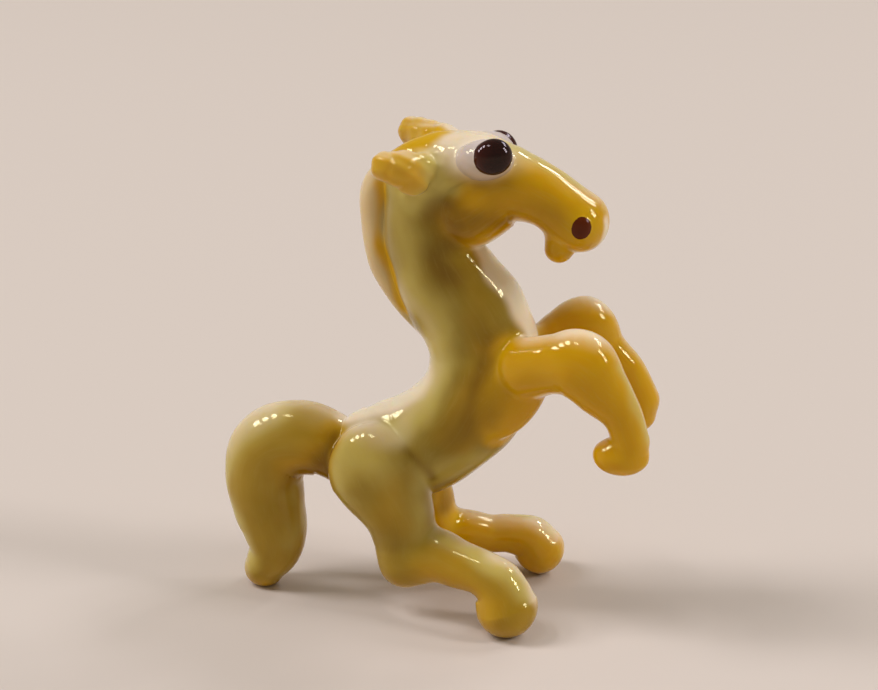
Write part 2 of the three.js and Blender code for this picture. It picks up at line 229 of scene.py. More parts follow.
def smooth(first, last, x):
    """0 at first, 1 at last and smooth between."""
    t = np.clip((x - first) / (last - first), 0, 1)
    return t * t * (3 - 2 * t)


def melt(a, b, width):
    """The smaller of two distances, rounded where they are about equal."""
    h = np.maximum(width - np.abs(a - b), 0) / width
    return np.minimum(a, b) - h**3 * width / 6


def melt_max(a, b, width):
    """The larger of two distances, rounded in the same way."""
    return -melt(-a, -b, width)


# The horse: rods as rows of x, y, z and half sizes up and aside
CHEST = np.array((4.4, 0, 24.2))  # where the torso ends and the neck starts

core = Rod(
    [
        (-5.0, 0, 13.75, 4.3, 3.9),
        (-3.6, 0, 14.15, 4.6, 4.1),
        (-1.56, 0, 14.8, 4.75, 4.3),
        (0.87, 0, 16.46, 4.7, 4.4),
        (2.89, 0, 18.58, 4.8, 4.4),
        (4.2, 0, 21.23, 4.85, 4.4),
        (4.4, 0, 24.2, 4.85, 4.2),
        (3.52, 0, 27.0, 4.85, 4.1),
        (1.7, 0, 29.66, 4.6, 4.0),
        (0.29, 0, 32.18, 4.2, 3.8),
        (-0.49, 0, 35.26, 3.95, 3.6),
        (-0.8, 0, 38.2, 3.5, 3.4),
    ]
)
skull = Rod(
    [
        (-0.6, 0, 39.2, 3.3, 3.3),
        (1.4, 0, 40.5, 2.9, 3.1),
        (4.0, 0, 40.9, 2.5, 2.8),
        (6.2, 0, 40.3, 2.2, 2.4),
    ]
)
face = Rod(
    [
        (3.1, 0, 37.0, 3.5, 3.9),
        (6.4, 0, 38.9, 3.15, 3.3),
        (9.5, 0, 38.2, 2.6, 2.7),
        (12.4, 0, 36.2, 2.6, 2.9),
    ]
)
lip = Rod([(10.8, 0, 34.95, 1.25, 1.5), (10.8, 0, 33.7, 1.25, 1.5)])
tail = Rod(
    [
        (-8.5, 0, 13.2, 2.6, 2.8),
        (-9.9, 0, 14.1, 3.1, 2.95),
        (-12.7, -0.1, 14.5, 3.5, 3.1),
        (-15.0, -0.3, 13.4, 3.7, 3.2),
        (-15.8, -0.4, 10.8, 3.6, 3.2),
        (-15.4, -0.5, 8.0, 3.4, 3.1),
        (-14.9, -0.6, 5.4, 3.0, 2.8),
        (-15.0, -0.7, 3.4, 2.5, 2.4),
        (-15.9, -0.8, 1.65, 1.9, 1.9),
    ]
)
mane = Rod(
    [
        (0.55, 0, 42.2, 1.1, 1.3),
        (-2.35, 0, 41.0, 1.2, 1.5),
        (-4.85, 0, 38.5, 1.35, 1.4),
        (-5.1, 0, 35.5, 1.35, 1.4),
        (-4.35, 0, 31.4, 1.25, 1.35),
        (-2.75, 0, 28.35, 1.05, 1.2),
        (-0.95, 0, 25.9, 0.6, 0.8),
    ]
)


def paired(sign, rows):
    """A rod of the right or left side, from rows whose y counts outwards."""
    return Rod([(x, y * sign, z, high, wide) for x, y, z, high, wide in rows])


def leaning(degrees):
    """Own axes of a drop that is turned up from +X by so many degrees, in the XZ plane."""
    c, s = math.cos(math.radians(degrees)), math.sin(math.radians(degrees))
    return [(c, 0, -s), (0, 1, 0), (s, 0, c)]


def facing(out):
    """Own axes of a drop whose second axis points along out."""
    out = unit(np.array(out, float))
    first = unit(np.cross(out, (0, 0, 1)))
    return np.stack([first, out, np.cross(first, out)], axis=1)


def tilted(out, degrees):
    """The same axes, turned about out."""
    first, second, third = facing(out).T
    c, s = math.cos(math.radians(degrees)), math.sin(math.radians(degrees))
    return np.stack([first * c + third * s, second, third * c - first * s], axis=1)


def looking(sign, ahead, lift):
    """A direction for a side: degrees forwards from straight out, and degrees upwards."""
    ahead, lift = math.radians(ahead), math.radians(lift)
    return np.array(
        (math.sin(ahead) * math.cos(lift), sign * math.cos(ahead) * math.cos(lift), math.sin(lift))
    )


# Pairs, with y counted outwards
RIGHT, LEFT = -1, 1
haunches = {
    RIGHT: [(-4.5, 3.15, 13.2, 4.5, 3.0), (-2.6, 3.3, 9.3, 3.3, 2.85), (-2.1, 3.3, 6.7, 2.6, 2.55)],
    LEFT: [(-4.6, 3.1, 13.0, 3.6, 2.95), (-2.1, 3.3, 9.2, 2.9, 2.8), (-0.9, 3.2, 6.2, 2.4, 2.5)],
}
hind_legs = {
    RIGHT: [
        (-2.0, 3.3, 4.7, 2.4, 2.4),
        (0.8, 3.9, 5.8, 2.45, 2.3),
        (3.2, 4.6, 5.5, 2.2, 2.1),
        (5.4, 5.3, 5.2, 2.05, 2.0),
        (6.9, 5.8, 4.3, 2.35, 2.2),
        (7.6, 6.0, 2.55, 2.78, 2.7),
    ],
    LEFT: [
        (-0.3, 3.2, 4.1, 2.1, 2.1),
        (1.8, 3.9, 4.7, 1.95, 1.95),
        (4.3, 4.9, 4.1, 1.75, 1.75),
        (6.0, 5.5, 4.05, 1.8, 1.8),
        (7.8, 6.0, 3.5, 2.15, 2.1),
        (8.8, 6.2, 2.35, 2.35, 2.3),
    ],
}
forelegs = {
    RIGHT: [
        (8.6, 3.2, 23.9, 2.7, 2.4),
        (11.2, 4.4, 24.95, 2.6, 2.4),
        (13.4, 5.2, 25.2, 3.05, 2.7),
        (15.3, 5.4, 23.3, 2.4, 2.3),
        (17.0, 5.5, 21.2, 1.7, 1.75),
        (17.9, 5.5, 18.9, 1.6, 1.7),
    ],
    LEFT: [
        (8.6, 3.2, 22.6, 2.3, 2.4),
        (10.8, 4.2, 24.5, 2.3, 2.3),
        (12.7, 4.8, 25.5, 2.4, 2.4),
        (14.5, 5.0, 23.2, 1.85, 1.9),
        (16.3, 5.0, 21.2, 1.8, 1.8),
        (17.6, 5.0, 18.4, 1.9, 1.9),
    ],
}
ears = {
    RIGHT: [(-0.6, 3.0, 40.9, 1.4, 1.4), (-2.0, 4.4, 41.2, 1.5, 1.5), (-3.0, 5.2, 41.5, 1.25, 1.25)],
    LEFT: [(0.4, 2.1, 41.9, 1.65, 1.65), (-1.5, 3.7, 42.1, 1.45, 1.45), (-2.8, 4.8, 42.1, 1.3, 1.3)],
}
eyes = {RIGHT: (5.35, 2.6, 41.8), LEFT: (4.7, 2.6, 41.1)}

# Where pupils and nostrils look: degrees ahead of straight out, and degrees up
pupil_looks = {RIGHT: (14, 24), LEFT: (12, 6)}
nostril_looks = {RIGHT: (10, 4), LEFT: (26, 12)}
MUZZLE_END = np.array((12.4, 0, 36.2))
PUPIL_OUT, NOSTRIL_OUT = 1.25, 2.5  # from the middles of the eye and of the muzzle's end
NOSTRIL_TILT = 20  # degrees

# Drops: their half sizes, and their places, some from the end of the shin or the middle of the eye
HOOF, HOOF_SHIFT = (2.4, 1.75, 1.65), (-0.8, 0, -1.4)
SHOULDER, SHOULDER_PLACE, SHOULDER_LEAN = (4.6, 1.85, 2.9), (7.1, 2.75, 21.4), 62
LOBE, LOBE_X, LOBE_Y, LOBE_BELOW = (1.35, 1.0, 1.2), -1.0, 3.9, 1.15
EYE, EYE_SHIFT = (2.3, 1.65, 1.65), (-0.55, 0.15, 0.1)
PUPIL, NOSTRIL = (1.6, 1.0, 1.53), (0.88, 0.6, 1.0)
INNER_BLEND = 0.8  # over which the forms of one piece melt together


class Piece:
    """One node's glass: its forms, melted together, and how it melts into the pieces before it."""

    def __init__(self, name, forms, blend, slot, floor=False, share=None):
        self.name, self.forms, self.blend, self.slot = name, forms, blend, slot
        self.floor, self.share = floor, share
        self.low = np.min([f.low for f in forms], axis=0)
        self.high = np.max([f.high for f in forms], axis=0)

    def near(self, p):
        out = distance(self.forms[0], p)
        for form in self.forms[1:]:
            out = melt(out, distance(form, p), INNER_BLEND)
        if self.share is not None:
            out = np.maximum(out, self.share(p))
        return out


def over_chest(p):
    """Distance past the section at the chest, along the core."""
    i = np.linalg.norm(core.middle - CHEST, axis=1).argmin()
    return (p - core.middle[i]) @ core.along[i]


def foreleg_forms(sign):
    """The rod of a raised foreleg, with its shoulder and its hoof."""
    outwards = (1, sign, 1)
    shoulder = Drop(np.array(SHOULDER_PLACE) * outwards, SHOULDER, leaning(SHOULDER_LEAN))
    hoof = Drop((np.array(forelegs[sign][-1][:3]) + HOOF_SHIFT) * outwards, HOOF)
    return [paired(sign, forelegs[sign]), shoulder, hoof]


def ear_forms(sign):
    """The blob of an ear, and the lobe that runs down from it."""
    ear = Rod([(x, y * sign, z, r, r) for x, y, z, r, _ in ears[sign]], (1, 0, 0))
    lobe = Drop((LOBE_X, LOBE_Y * sign, ears[sign][1][2] - LOBE_BELOW), LOBE)
    return [ear, lobe]


def side_pieces(sign, side):
    """The pieces of one side of the horse."""
    eye = np.array(eyes[sign]) * (1, sign, 1)
    white = Drop(eye + np.array(EYE_SHIFT) * (1, sign, 1), EYE)
    look = looking(sign, *pupil_looks[sign])
    pupil = Drop(eye + look * PUPIL_OUT, PUPIL, facing(look))
    nose = looking(sign, *nostril_looks[sign])
    nostril = Drop(MUZZLE_END + nose * NOSTRIL_OUT, NOSTRIL, tilted(nose, NOSTRIL_TILT))
    return [
        Piece(f"{side}_haunch", [paired(sign, haunches[sign])], 0.6, "pale_ivory_glass"),
        Piece(f"{side}_hind_leg", [paired(sign, hind_legs[sign])], 1.5, "honey_glass", floor=True),
        Piece(f"{side}_foreleg", foreleg_forms(sign), 0.9, "amber_glass"),
        Piece(f"{side}_ear", ear_forms(sign), 0.8, "amber_glass"),
        Piece(f"{side}_eye", [white], 0.9, "eye_white_glass"),
        Piece(f"{side}_pupil", [pupil], 0.25, "dark_glass"),
        Piece(f"{side}_nostril", [nostril], 0.25, "maroon_glass"),
    ]


pieces = [
    Piece("torso", [core], 0.3, "ivory_glass", share=over_chest),
    Piece("neck", [core], 0.3, "ivory_glass", share=lambda p: -over_chest(p)),
    Piece("head", [skull], 1.0, "ivory_glass"),
    Piece("muzzle", [face], 0.7, "amber_glass"),
    Piece("lower_lip", [lip], 0.9, "amber_glass"),
    Piece("tail", [tail], 0.2, "honey_glass", floor=True),
]
pieces += side_pieces(RIGHT, "right")
pieces += side_pieces(LEFT, "left")
pieces.append(Piece("mane", [mane], 0.5, "amber_glass"))

FILLET = 0.35  # how far a piece's skin may stand off its own rod, where it melts into others
SINK = 0.35  # how far a root sinks under the skin of its neighbours
FLAT_EDGE = 0.15  # rounding of the edges of the flats on the floor
SMALL = {"eye", "pupil", "nostril", "ear", "lip"}  # meshed with the finer step
LUMP = 0.06  # how deep the dents in the ears are
LUMPS_START, LUMPS_FULL = 1.4, 0.4  # distances from an ear at which they start and are at their full

# Hand-pulled glass is never quite even: slow waves over the whole skin, in four directions
WAVES = [
    ((0.9, 0.5, 0.7), 0.4, 0.030),
    ((-0.6, 0.9, 0.8), 1.9, 0.030),
    ((1.4, -0.8, -1.1), 3.1, 0.016),
    ((0.3, 1.7, -1.6), 5.0, 0.012),
]


def waves(p):
    """The unevenness of the skin at each point."""
    return sum(size * np.sin(p @ np.array(way) + phase) for way, phase, size in WAVES)


def lumps(p):
    """Small dents left by the tool that nipped the ears off."""
    return LUMP * np.sin(p @ np.array((2.9, 1.2, 2.1))) * np.sin(p @ np.array((-1.3, 2.6, 2.4)) + 0.8)


def fields(piece, p):
    """Distances to a piece, to the skin of everything melted together, and to the other pieces."""
    own = piece.near(p)
    skin = distance(core, p)
    other = np.full(len(p), FAR)
    for one in pieces:
        near = own if one is piece else one.near(p)
        if one is not piece:
            other = np.minimum(other, near)
        if one.name not in ("torso", "neck"):
            skin = melt(skin, near, one.blend)
        if one.name.endswith("_ear"):
            skin = skin + lumps(p) * smooth(LUMPS_START, LUMPS_FULL, near)
    return own, skin + waves(p), other


def surface(piece, p):
    """Distance to the melted skin, with the flats that a piece stands on."""
    skin = fields(piece, p)[1]
    return melt_max(skin, -p[:, 2], FLAT_EDGE) if piece.floor else skin


def whole(piece, p):
    """The distance that a piece is meshed by: its share of the skin, and its root inside."""
    own, skin, other = fields(piece, p)
    out = np.maximum(skin + np.clip(own - other, 0, SINK), own - FILLET)
    if piece.floor:
        out = melt_max(out, -p[:, 2], FLAT_EDGE)
    return out


# The coloured glasses, over a body of olive
AMBER, DEEP, MILK, BLUSH = range(4)

# What each piece is made of before the stains: shares of amber, deep, milk and blush
BASES = {
    "torso": (0.1, 0.0, 0.3, 0.0),
    "neck": (0.1, 0.0, 0.3, 0.0),
    "head": (0.0, 0.0, 0.5, 0.25),
    "muzzle": (0.85, 0.15, 0.0, 0.0),
    "lower_lip": (0.9, 0.1, 0.0, 0.0),
    "tail": (0.3, 0.0, 0.3, 0.0),
    "haunch": (0.2, 0.0, 0.35, 0.0),
    "right_hind_leg": (0.35, 0.0, 0.25, 0.0),
    # the far hind leg's touch of blush is painted light, for the light that shines through it
    "left_hind_leg": (0.9, 0.0, 0.0, 0.1),
    "foreleg": (0.9, 0.0, 0.05, 0.0),
    "ear": (0.7, 0.0, 0.3, 0.0),
    "eye": (0.0, 0.0, 0.0, 1.0),
    "mane": (0.15, 0.0, 0.15, 0.6),
}

# Stains in the glass, and a few strips of painted light and painted shade, the same on both sides,
# each over the ones before it: which glass, how strong, how soft its edge is, and the thick line
# that it follows, as x, y, z and radius
STAIN_AND_LIGHT_ROWS = [
    # pale washes on the neck, head, chest, back and belly
    (MILK, 0.35, 1.3, [(-2.0, -3.2, 38.6, 1.5), (-1.6, -3.4, 35, 1.5), (-1.7, -3.2, 32, 1.2)]),
    (MILK, 0.6, 1.5, [(-1.4, -3.0, 30.5, 1.4), (0.2, -3.5, 28.5, 1.8), (0.9, -3.6, 26.5, 1.9),
                      (0.4, -2.8, 23.8, 1.5)]),
    (BLUSH, 0.2, 1.0, [(-3.6, -2.2, 36.5, 1.0), (-2.9, -2.4, 33.0, 1.1), (-1.9, -2.3, 29.5, 1.0)]),
    (MILK, 0.75, 1.3, [(0.3, -2.9, 26.0, 1.2), (0.4, -2.7, 22.6, 1.4), (-0.6, -3.0, 19.4, 1.4),
                       (-2.8, -3.2, 17.8, 1.2)]),
    # along the ridge of the back: pale opal glass, and partly painted light on the lit top
    (BLUSH, 0.95, 1.0, [(-0.6, 0, 24.5, 1.7), (-0.9, 0, 21.4, 2.3), (-3.3, 0, 19.4, 2.2),
                        (-7.0, 0, 17.8, 1.8)]),
    (BLUSH, 0.3, 1.2, [(-1.8, -2.4, 29.6, 1.0), (-0.2, -3.2, 27.6, 1.2), (0.3, -3.0, 25.0, 1.3),
                       (0.2, -2.6, 21.8, 1.2), (-2.2, -3.0, 18.6, 1.1)]),
    (MILK, 0.45, 1.1, [(-0.3, -4.0, 13.6, 1.3), (1.8, -3.8, 14.0, 1.5), (4.3, -3.0, 15.0, 1.4)]),
    (MILK, 0.8, 1.0, [(0.2, -3.2, 41.0, 1.4), (1.1, -3.1, 39.4, 1.4), (-0.8, -3.4, 38.8, 1.3)]),
    (BLUSH, 0.5, 1.0, [(1.4, -1.6, 42.4, 1.4), (3.0, -2.6, 42.2, 1.6), (4.6, -0.6, 43.0, 1.4)]),
    # under the jaw and down the neck
    (AMBER, 0.15, 1.2, [(3.4, -3.1, 31.9, 1.6), (4.6, -3.5, 29.4, 1.5), (5.0, -4.0, 26.5, 1.4)]),
    (DEEP, 0.4, 1.3, [(1.9, -3.1, 34.6, 1.4), (1.0, -3.6, 33.2, 1.4), (2.0, -3.6, 31.8, 1.1)]),
    (DEEP, 0.2, 1.2, [(2.2, -3.6, 32.2, 1.2), (4.3, -3.5, 29.9, 1.2), (4.9, -3.8, 27.4, 1.0)]),
    # down the front of the neck: paler glass, and partly painted light where the lamp ahead falls
    (BLUSH, 1.0, 0.9, [(4.4, 0, 34.4, 2.1), (6.3, 0, 31.6, 2.6), (7.8, 0, 28.8, 2.6),
                       (8.6, 0, 26.5, 1.7)]),
    # the line where the mane lies on the neck, and the poll
    (AMBER, 0.85, 0.45, [(-4.4, -1.6, 38.7, 0.35), (-4.55, -1.5, 36.1, 0.3), (-4.3, -1.5, 33.5, 0.4),
                         (-3.4, -1.5, 31.0, 0.5), (-2.3, -1.4, 27.8, 0.45)]),
    (AMBER, 0.9, 0.8, [(-2.4, 0, 42.3, 1.3), (-0.8, -0.6, 42.8, 1.4), (0.6, 0, 43.2, 1.0)]),
    # muzzle
    # deeper amber on the cheek: the glass's own, and partly painted shade on the shaded side
    (DEEP, 0.5, 1.1, [(1.6, -3.4, 37.2, 1.6), (3.6, -3.9, 36.4, 1.8), (5.4, -3.0, 36.8, 1.4)]),
    (DEEP, 0.3, 1.1, [(3.2, -3.2, 39.4, 0.7), (5.0, -3.2, 39.8, 0.8), (6.8, -2.9, 39.8, 0.7)]),
    (DEEP, 0.2, 1.3, [(7.5, -2.5, 37.4, 1.4), (10.5, -2.4, 36.8, 1.5)]),
    (MILK, 0.55, 0.8, [(6.8, 0, 42.2, 1.2), (9.1, 0, 41.4, 1.2), (12.0, 0, 39.6, 0.9)]),
    # a pale rim at the tip of the muzzle, with a painted reflection of the floor on it
    (BLUSH, 0.75, 0.45, [(15.0, -0.9, 36.6, 0.5), (14.9, -0.9, 35.4, 0.7), (13.9, -0.8, 34.2, 0.5)]),
    # flank and shoulder
    (AMBER, 0.2, 1.2, [(5.0, -4.1, 25.3, 1.2), (4.2, -4.3, 21.0, 1.9), (2.6, -4.4, 17.4, 1.9)]),
    (DEEP, 0.32, 1.2, [(4.9, -4.0, 26.3, 0.7), (4.8, -4.2, 23.5, 0.9), (4.2, -4.4, 21.0, 1.1),
                       (3.0, -4.4, 18.6, 1.5), (2.2, -4.3, 17.0, 1.2)]),
    (AMBER, 0.75, 0.9, [(7.0, -4.0, 25.6, 1.3), (7.0, -4.4, 22, 1.9), (6.4, -4.0, 18.8, 1.5),
                        (6.6, -2.7, 16.9, 1.0)]),
    (DEEP, 0.5, 1.6, [(5.6, -4.6, 24.4, 0.8), (5.6, -4.8, 21.6, 1.4), (5.4, -4.2, 18.9, 1.3)]),
    (DEEP, 0.3, 1.4, [(6.2, -4.2, 26.0, 0.4), (6.7, -5.0, 24.4, 0.5), (6.5, -4.8, 22.6, 0.6)]),
    # inner thigh and haunch
    (AMBER, 0.85, 1.0, [(0.8, -1.6, 9.5, 1.2), (1.2, -1.8, 7.0, 1.6), (1.0, -2.0, 5.0, 1.6)]),
    (DEEP, 0.5, 1.0, [(0.6, -1.6, 11.0, 1.0), (0.9, -1.8, 8.2, 1.3)]),
    (MILK, 0.4, 1.6, [(-5.6, -5.4, 15.2, 1.7), (-3.6, -5.6, 14.8, 1.7)]),
    (BLUSH, 0.3, 1.4, [(-7.0, -3.6, 16.4, 1.2), (-4.4, -4.2, 17.0, 1.3), (-1.8, -4.0, 17.0, 1.0)]),
    (AMBER, 0.15, 1.6, [(-2.4, -5.7, 13.4, 1.4), (-2.6, -6.0, 10.4, 1.4)]),
    (DEEP, 0.2, 1.5, [(-3.4, -6.2, 10.5, 1.0), (-2.8, -6.2, 8.8, 1.3), (-2.4, -6.0, 6.8, 1.3)]),
    (MILK, 0.6, 1.4, [(-7.4, -4.2, 15.2, 1.0), (-7.6, -4.8, 13.4, 1.0), (-6.8, -5.2, 11.6, 0.6)]),
    (MILK, 0.5, 1.0, [(-0.2, -4.9, 12.4, 0.7), (-0.3, -5.0, 10.4, 0.9), (-0.2, -4.8, 8.8, 0.7)]),
    (BLUSH, 0.2, 0.8, [(0.2, -4.5, 12.2, 0.6), (0.2, -4.6, 9.0, 0.7)]),
    (DEEP, 0.45, 0.6, [(-1.6, -4.6, 16.4, 0.3), (-0.3, -4.3, 15.0, 0.4), (0.4, -3.8, 13.2, 0.5)]),
    # hind leg
    (AMBER, 0.3, 1.3, [(0.5, -6.2, 5.0, 1.2), (3.0, -6.6, 4.7, 1.3), (6, -7.6, 2.9, 1.6)]),
    (MILK, 0.85, 1.0, [(1.5, -4.8, 8.3, 0.3), (4.0, -5.7, 7.8, 0.7), (6.7, -6.4, 6.8, 1.1),
                       (9.3, -6.4, 5.0, 1.2)]),
    (BLUSH, 0.5, 0.8, [(6.2, -5.6, 7.2, 0.6), (8.6, -5.6, 5.8, 1.0), (10.0, -6.0, 3.9, 0.8)]),
    # tail
    (AMBER, 0.5, 1.7, [(-8.4, -2.5, 15.5, 1.3), (-9.2, -2.5, 13.6, 2.0), (-12.0, -2.8, 12.6, 1.2)]),
    # under the tail's root: deeper amber glass, and partly painted shade under the bend
    (DEEP, 0.65, 1.7, [(-8.4, -2.5, 15.0, 1.0), (-9.2, -2.5, 13.0, 2.0), (-12.0, -2.6, 11.8, 1.3)]),
    (MILK, 0.8, 2.0, [(-14.2, -1.2, 17.2, 1.2), (-16.4, -1.5, 16.6, 1.6), (-18.0, -1.5, 14.8, 1.5),
                      (-18.8, -1.8, 12.4, 0.8)]),
    (BLUSH, 0.6, 1.9, [(-15.0, -0.6, 17.2, 1.4), (-17.2, -1.2, 16.0, 1.5), (-18.6, -1.4, 13.8, 0.9)]),
    (MILK, 0.65, 1.1, [(-18.9, -1.6, 12.2, 0.8), (-18.8, -1.8, 9.5, 0.8), (-17.9, -2.2, 7.0, 0.9),
                       (-17.2, -2.2, 3.4, 1.2)]),
    (BLUSH, 0.4, 0.9, [(-17.6, -1.8, 3.4, 0.6), (-17.4, -2.2, 1.6, 0.6)]),
    (MILK, 0.45, 1.0, [(-12.3, -1.8, 10.0, 0.8), (-12.3, -1.6, 7.6, 0.8), (-13.2, -2, 5.2, 0.7)]),
    (AMBER, 0.4, 0.7, [(-16.8, -1.5, 0.6, 0.7), (-15.6, -2.2, 0.4, 0.7)]),
    (DEEP, 0.85, 0.5, [(-8.4, -2.6, 16.2, 0.4), (-8.3, -3.4, 13.5, 0.5), (-8.5, -2.4, 11.0, 0.5)]),
    # forelegs
    (BLUSH, 0.5, 1.1, [(12.0, -5.6, 28.0, 0.8), (14.4, -5.2, 28.0, 1.3)]),
    (MILK, 0.6, 0.8, [(16.9, -6.0, 25.6, 0.7), (18.2, -6.0, 23.0, 0.8), (19.2, -6.0, 19.8, 0.8)]),
]
STAINS_AND_LIGHT = [
    (kind, strength, edge, Rod([(x, y, z, r, r) for x, y, z, r in rows]))
    for kind, strength, edge, rows in STAIN_AND_LIGHT_ROWS
]
MINGLE = 0.5  # over about this distance the glasses of two pieces run into each other
NEARBY, WITHIN = 2, 1  # how far outside a piece it still colours, and how far inside in full

# How the edges of the stains wander, in three directions, and how far light is painted on:
# ridges and tops paled as if lit, undersides paled as a painted reflection of the bright floor
WANDER = [((1.1, 0.7, -0.9), 0.3), ((-0.8, 1.3, 1.0), 2.1), ((0.9, -1.2, 1.2), 4.4)]
WANDER_SIZE = 0.22
RIDGE_PAINTED_LIGHT, TOP_PAINTED_LIGHT, UNDERSIDE_PAINTED_REFLECTION = 0.3, 0.3, 0.5


def glasses(p, normals):
    """How far each coloured glass, and the pale glass painted on as light, covers those before it, and
    places along and across a rod.
    """
    shares, pulled, total = np.zeros((len(p), 4)), np.zeros((len(p), 3)), np.zeros(len(p))
    for piece in pieces:
        kind = piece.name if piece.name in BASES else piece.name.split("_", 1)[-1]
        if kind not in BASES:
            continue
        near = piece.near(p)
        close = np.nonzero(near < NEARBY)[0]
        weight = np.exp(-np.maximum(near[close], -WITHIN) / MINGLE)[:, None]
        form = piece.forms[0]
        if isinstance(form, Rod):
            beyond, up, aside, _, _, arc = form.local(p[close])
            place = np.stack([arc + beyond, up, aside], axis=1)
        else:
            place = p[close] - form.middle
        shares[close] += weight * BASES[kind]
        pulled[close] += weight * place
        total[close] += weight[:, 0]
    shares /= total[:, None]
    pulled /= total[:, None]

    def stain(kind, cover):
        shares[:] *= 1 - cover[:, None]
        shares[:, kind] += cover

    # Painted light: ridges that face up, down, ahead or back, and tops, are paled as if lit
    stain(BLUSH, RIDGE_PAINTED_LIGHT * smooth(0.55, 0.05, np.abs(normals[:, 1])))
    stain(BLUSH, TOP_PAINTED_LIGHT * smooth(0.35, 1.0, normals[:, 2]))
    wander = np.stack([np.sin(p @ np.array(way) + phase) for way, phase in WANDER], axis=1) * WANDER_SIZE
    mirrored = p * (1, 0, 1) - np.abs(p) * (0, 1, 0) + wander
    for kind, strength, edge, rod in STAINS_AND_LIGHT:
        stain(kind, strength * smooth(edge, -edge, distance(rod, mirrored)))
    # Painted reflection: undersides are paled as if they showed the bright floor below
    stain(BLUSH, UNDERSIDE_PAINTED_REFLECTION * smooth(-0.6, -0.95, normals[:, 2]))
    left = 1 - np.cumsum(shares[:, ::-1], axis=1)[:, ::-1] + shares
    return np.clip(shares / np.maximum(left, 1e-3), 0, 1), pulled


# The corners of a grid's cell, and the pairs of them that an edge joins
CORNERS = np.array([(i, j, k) for i in (0, 1) for j in (0, 1) for k in (0, 1)])
EDGES = [(a, b) for a in range(8) for b in range(a + 1, 8) if np.abs(CORNERS[a] - CORNERS[b]).sum() == 1]


def surface_net(values, low, step):
    """A closed skin of quads round the part of a grid where values are negative."""
    inside = values < 0
    size = np.array(values.shape) - 1
    count = sum(
        inside[i : i + size[0], j : j + size[1], k : k + size[2]].astype(np.int8) for i, j, k in CORNERS
    )
    cells = np.argwhere((count > 0) & (count < 8))
    number = np.full(size, -1)
    number[tuple(cells.T)] = np.arange(len(cells))
    at = np.stack([values[tuple((cells + c).T)] for c in CORNERS], axis=1)
    total, crossings = np.zeros((len(cells), 3)), np.zeros(len(cells))
    for a, b in EDGES:
        cut = (at[:, a] < 0) != (at[:, b] < 0)
        t = np.where(cut, at[:, a] / np.where(cut, at[:, a] - at[:, b], 1), 0)[:, None]
        total += np.where(cut[:, None], CORNERS[a] * (1 - t) + CORNERS[b] * t, 0)
        crossings += cut
    points = low + (cells + total / crossings[:, None]) * step
    quads = []
    for axis in range(3):
        u, v = (axis + 1) % 3, (axis + 2) % 3
        first = np.take(inside, range(size[axis]), axis)
        second = np.take(inside, range(1, size[axis] + 1), axis)
        for change, flip in ((first & ~second, False), (~first & second, True)):
            edge = np.argwhere(change)
            edge = edge[(edge[:, u] > 0) & (edge[:, v] > 0)]
            ring = []
            for du, dv in ((-1, -1), (0, -1), (0, 0), (-1, 0)):
                cell = edge.copy()
                cell[:, u] += du
                cell[:, v] += dv
                ring.append(number[tuple(cell.T)])
            ring = np.stack(ring, axis=1)
            quads.append(ring[:, ::-1] if flip else ring)
    return points, np.vstack(quads)


def slope(field, p, reach=0.02):
    """Gradient of a field at each point."""
    ways = np.array([(1, 1, 1), (1, -1, -1), (-1, 1, -1), (-1, -1, 1)], float)
    return sum(field(p + way * reach)[:, None] * way for way in ways) / (4 * reach)


MARGIN = 0.4  # round a piece's grid, besides three of its steps
MOVES, LONGEST_MOVE = 3, 0.4  # of the points onto the skin, and each move's most, in steps
LEAST_SLOPE = 0.25  # squared, so that no move grows out of hand
NORMAL_REACH = 0.03  # wider than for moves, for smoother highlights


def mesh_of(piece):
    """Points and quads of a piece, its normals, and how far each point lies past its own glass."""
    small = any(word in piece.name for word in SMALL)
    step = FINE_VOXEL if small else VOXEL
    low = piece.low - 3 * step - MARGIN
    count = np.ceil((piece.high + 3 * step + MARGIN - low) / step).astype(int)
    axes = [low[i] + np.arange(count[i]) * step for i in range(3)]
    grid = np.stack(np.meshgrid(*axes, indexing="ij"), axis=-1).reshape(-1, 3)
    near = piece.near(grid)
    values = np.sign(near + 0.5)  # away from the skin only the sign counts
    close = np.abs(near) < max(FILLET + 2 * step, SINK + step)
    values[close] = whole(piece, grid[close])
    points, quads = surface_net(values.reshape(count), low, step)
    way = slope(lambda q: whole(piece, q), points)
    way /= np.maximum((way**2).sum(1), LEAST_SLOPE)[:, None]
    for _ in range(MOVES):
        move = -way * whole(piece, points)[:, None]
        length = np.linalg.norm(move, axis=1, keepdims=True)
        points = points + move * np.minimum(1, LONGEST_MOVE * step / np.maximum(length, TINY))
    own, _, other = fields(piece, points)
    shown = own - other < SINK / 2
    normals = way
    normals[shown] = slope(lambda q: surface(piece, q), points[shown], NORMAL_REACH)
    return points, quads, unit(normals), own - other


INSET = 0.02  # how far the glass stays inside the sides and top of the CAD model's box
DEEP_IN = 1.2  # this far from a seam the light goes fully under the surface


def add_values(mesh, name, values):
    """A number, or three, at each point of a mesh, for its material to read."""
    kind, entry = ("FLOAT", "value") if values.ndim == 1 else ("FLOAT_VECTOR", "vector")
    attribute = mesh.attributes.new(name, kind, "POINT")
    attribute.data.foreach_set(entry, values.astype(np.float32).ravel())


